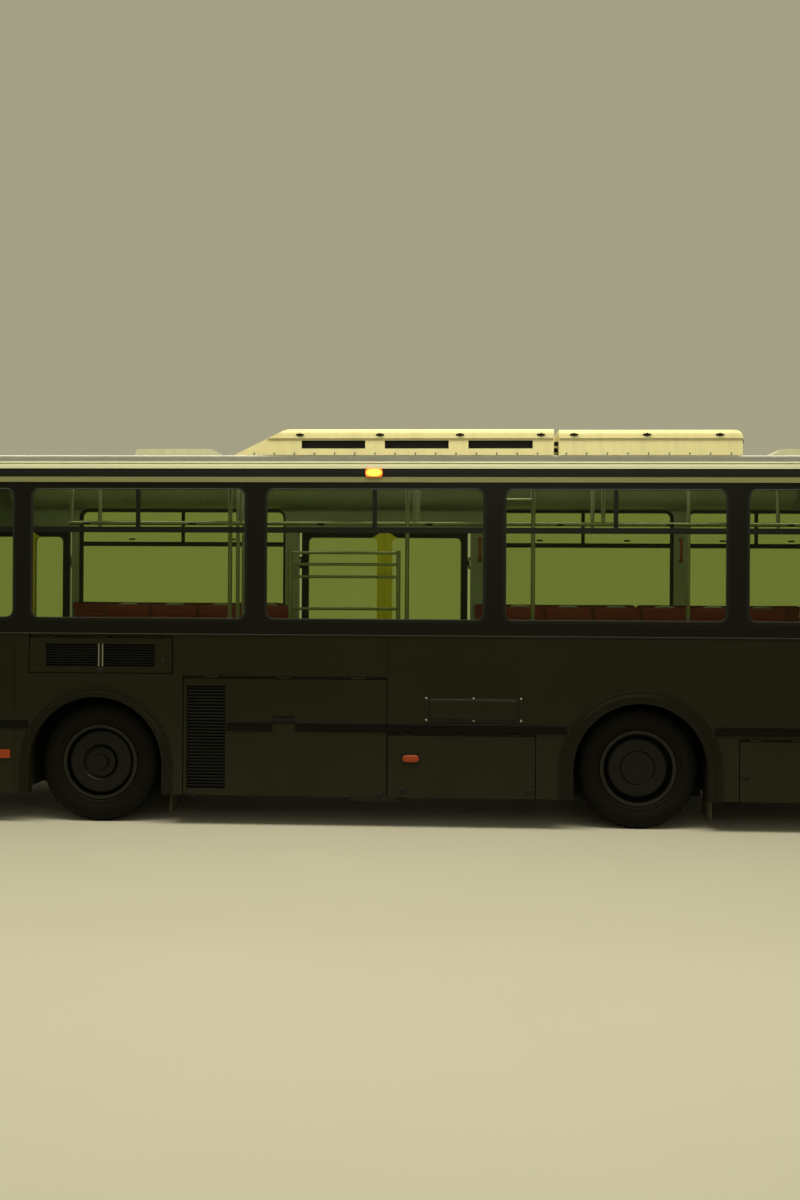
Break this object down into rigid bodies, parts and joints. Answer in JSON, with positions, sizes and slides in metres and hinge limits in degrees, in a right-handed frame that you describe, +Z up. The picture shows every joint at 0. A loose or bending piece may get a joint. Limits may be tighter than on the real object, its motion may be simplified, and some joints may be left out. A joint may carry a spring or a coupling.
{
  "type": "airport passenger bus",
  "caption": "Low-floor airport passenger bus with steered front wheels, twin rear wheels, hinged doors, flaps and roof hatches, and cooling units on the roof.",
  "frame": {"origin": "on the road, under the middle of the whole vehicle's box", "axes": "+X forwards, +Y to the left, +Z up"},
  "size_m": [9.46, 2.87, 3.19],
  "materials": {
    "body_paint": "charcoal paint, semi gloss",
    "cream_paint": "cream paint, semi gloss",
    "door_frame": "black paint, satin",
    "tinted_glass": "tinted glass",
    "black_plastic": "black moulded plastic",
    "moulding": "moulded plastic, body colour",
    "clear_lamp": "clear lamp cover",
    "red_lamp": "red lamp cover",
    "amber_lamp": "amber lamp cover",
    "tyre": "black rubber",
    "wheel_steel": "dark painted steel",
    "chassis_black": "black chassis paint",
    "bellows_rubber": "black rubber",
    "engine_iron": "dark cast iron",
    "tank_metal": "dark paint",
    "lining": "dark grey lining",
    "floor_vinyl": "dark grey studded vinyl",
    "driver_cloth": "dark cloth",
    "seat_cloth": "maroon cloth",
    "dash_plastic": "dark textured plastic",
    "rail_steel": "brushed steel"
  },
  "bodies": {
    "bus": {"underframe": "chassis_black", "floor_deck": "floor_vinyl", "inner_housings": "lining", "side_wall_left": "body_paint", "side_wall_right": "body_paint", "roof_shell": "cream_paint", "cant_rails": "cream_paint", "front_mask": "body_paint", "rear_mask": "body_paint", "windscreen": "tinted_glass", "side_windows": "tinted_glass", "window_frames": "black_plastic", "side_trims": "moulding", "mud_flaps": "bellows_rubber", "display_board": "black_plastic", "front_bumper": "moulding", "rear_bumper": "moulding", "front_lamps": "clear_lamp", "rear_lamps": "red_lamp", "marker_lamps": "amber_lamp", "mirrors": "black_plastic", "wipers": "black_plastic", "roof_unit_long": "cream_paint", "roof_unit_rear": "cream_paint", "front_axle": "chassis_black", "suspension": "bellows_rubber", "rear_axle": "chassis_black", "engine_block": "engine_iron", "tanks": "tank_metal", "driver_seat": "driver_cloth", "dashboard": "dash_plastic", "cab_partition": "lining", "passenger_seats": "seat_cloth", "grab_rails": "rail_steel"},
    "front_knuckle_left": {"knuckle_left": "chassis_black"},
    "front_knuckle_right": {"knuckle_right": "chassis_black"},
    "tie_rod": {"tie_rod": "chassis_black"},
    "wheel_front_left": {"tyre_front_left": "tyre", "wheel_front_left": "wheel_steel"},
    "wheel_front_right": {"tyre_front_right": "tyre", "wheel_front_right": "wheel_steel"},
    "wheels_rear_left": {"tyre_rear_left": "tyre", "wheel_rear_left": "wheel_steel"},
    "wheels_rear_right": {"tyre_rear_right": "tyre", "wheel_rear_right": "wheel_steel"},
    "door_front_fore": {"door_front_fore": "door_frame", "pane_front_fore": "tinted_glass"},
    "door_front_aft": {"door_front_aft": "door_frame", "pane_front_aft": "tinted_glass"},
    "door_mid_fore": {"door_mid_fore": "door_frame", "pane_mid_fore": "tinted_glass"},
    "door_mid_aft": {"door_mid_aft": "door_frame", "pane_mid_aft": "tinted_glass"},
    "engine_door": {"engine_door": "body_paint"},
    "locker_flap": {"locker_flap": "body_paint"},
    "skirt_flap_mid": {"skirt_flap_mid": "body_paint"},
    "skirt_flap_rear": {"skirt_flap_rear": "body_paint"},
    "rear_hatch": {"rear_hatch": "body_paint"},
    "roof_hatch_front": {"roof_hatch_front": "cream_paint"},
    "roof_hatch_rear": {"roof_hatch_rear": "cream_paint"}
  },
  "joints": [
    {"name": "steer_left", "type": "hinge", "parent": "bus", "child": "front_knuckle_left", "pos_m": [2.14, 0.9225, 0.478], "axis": [0, 0, 1], "range_deg": [-38, 38]},
    {"name": "steer_right", "type": "hinge", "parent": "bus", "child": "front_knuckle_right", "pos_m": [2.14, -0.9225, 0.478], "axis": [0, 0, 1], "range_deg": [-38, 38]},
    {"name": "tie_rod_pivot", "type": "hinge", "parent": "front_knuckle_left", "child": "tie_rod", "pos_m": [1.94, 0.8405, 0.2], "axis": [0, 0, 1], "range_deg": [-41.6, 41.6]},
    {"name": "spin_front_left", "type": "hinge", "parent": "front_knuckle_left", "child": "wheel_front_left", "pos_m": [2.14, 1.0325, 0.478], "axis": [0, 1, 0], "continuous": true},
    {"name": "spin_front_right", "type": "hinge", "parent": "front_knuckle_right", "child": "wheel_front_right", "pos_m": [2.14, -1.0325, 0.478], "axis": [0, 1, 0], "continuous": true},
    {"name": "spin_rear_left", "type": "hinge", "parent": "bus", "child": "wheels_rear_left", "pos_m": [-2.16, 1.0325, 0.478], "axis": [0, 1, 0], "continuous": true},
    {"name": "spin_rear_right", "type": "hinge", "parent": "bus", "child": "wheels_rear_right", "pos_m": [-2.16, -1.0325, 0.478], "axis": [0, 1, 0], "continuous": true},
    {"name": "door_front_fore_hinge", "type": "hinge", "parent": "bus", "child": "door_front_fore", "pos_m": [4.032, -1.266, 1.381], "axis": [0, 0, 1], "range_deg": [0, 88]},
    {"name": "door_front_aft_hinge", "type": "hinge", "parent": "bus", "child": "door_front_aft", "pos_m": [3.158, -1.266, 1.381], "axis": [0, 0, -1], "range_deg": [0, 88]},
    {"name": "door_mid_fore_hinge", "type": "hinge", "parent": "bus", "child": "door_mid_fore", "pos_m": [0.837, -1.266, 1.381], "axis": [0, 0, 1], "range_deg": [0, 88]},
    {"name": "door_mid_aft_hinge", "type": "hinge", "parent": "bus", "child": "door_mid_aft", "pos_m": [-0.837, -1.266, 1.381], "axis": [0, 0, -1], "range_deg": [0, 88]},
    {"name": "engine_door_hinge", "type": "hinge", "parent": "bus", "child": "engine_door", "pos_m": [0.6295, 1.266, 1.177], "axis": [1, 0, 0], "range_deg": [0, 85]},
    {"name": "locker_flap_hinge", "type": "hinge", "parent": "bus", "child": "locker_flap", "pos_m": [2.104, 1.266, 1.492], "axis": [1, 0, 0], "range_deg": [0, 85]},
    {"name": "skirt_flap_mid_hinge", "type": "hinge", "parent": "bus", "child": "skirt_flap_mid", "pos_m": [-0.766, 1.266, 0.744], "axis": [1, 0, 0], "range_deg": [0, 85]},
    {"name": "skirt_flap_rear_hinge", "type": "hinge", "parent": "bus", "child": "skirt_flap_rear", "pos_m": [-3.376, 1.266, 0.723], "axis": [1, 0, 0], "range_deg": [0, 85]},
    {"name": "rear_hatch_hinge", "type": "hinge", "parent": "bus", "child": "rear_hatch", "pos_m": [-4.701, 0, 1.432], "axis": [0, 1, 0], "range_deg": [0, 85]},
    {"name": "roof_hatch_front_hinge", "type": "hinge", "parent": "bus", "child": "roof_hatch_front", "pos_m": [1.291, 0, 3.036], "axis": [0, -1, 0], "range_deg": [0, 60]},
    {"name": "roof_hatch_rear_hinge", "type": "hinge", "parent": "bus", "child": "roof_hatch_rear", "pos_m": [-4.209, 0, 3.036], "axis": [0, -1, 0], "range_deg": [0, 60]}
  ],
  "couplings": [
    {"joint": "steer_right", "follows": "steer_left", "ratio": 1},
    {"joint": "tie_rod_pivot", "follows": "steer_left", "ratio": -1.0925}
  ]
}
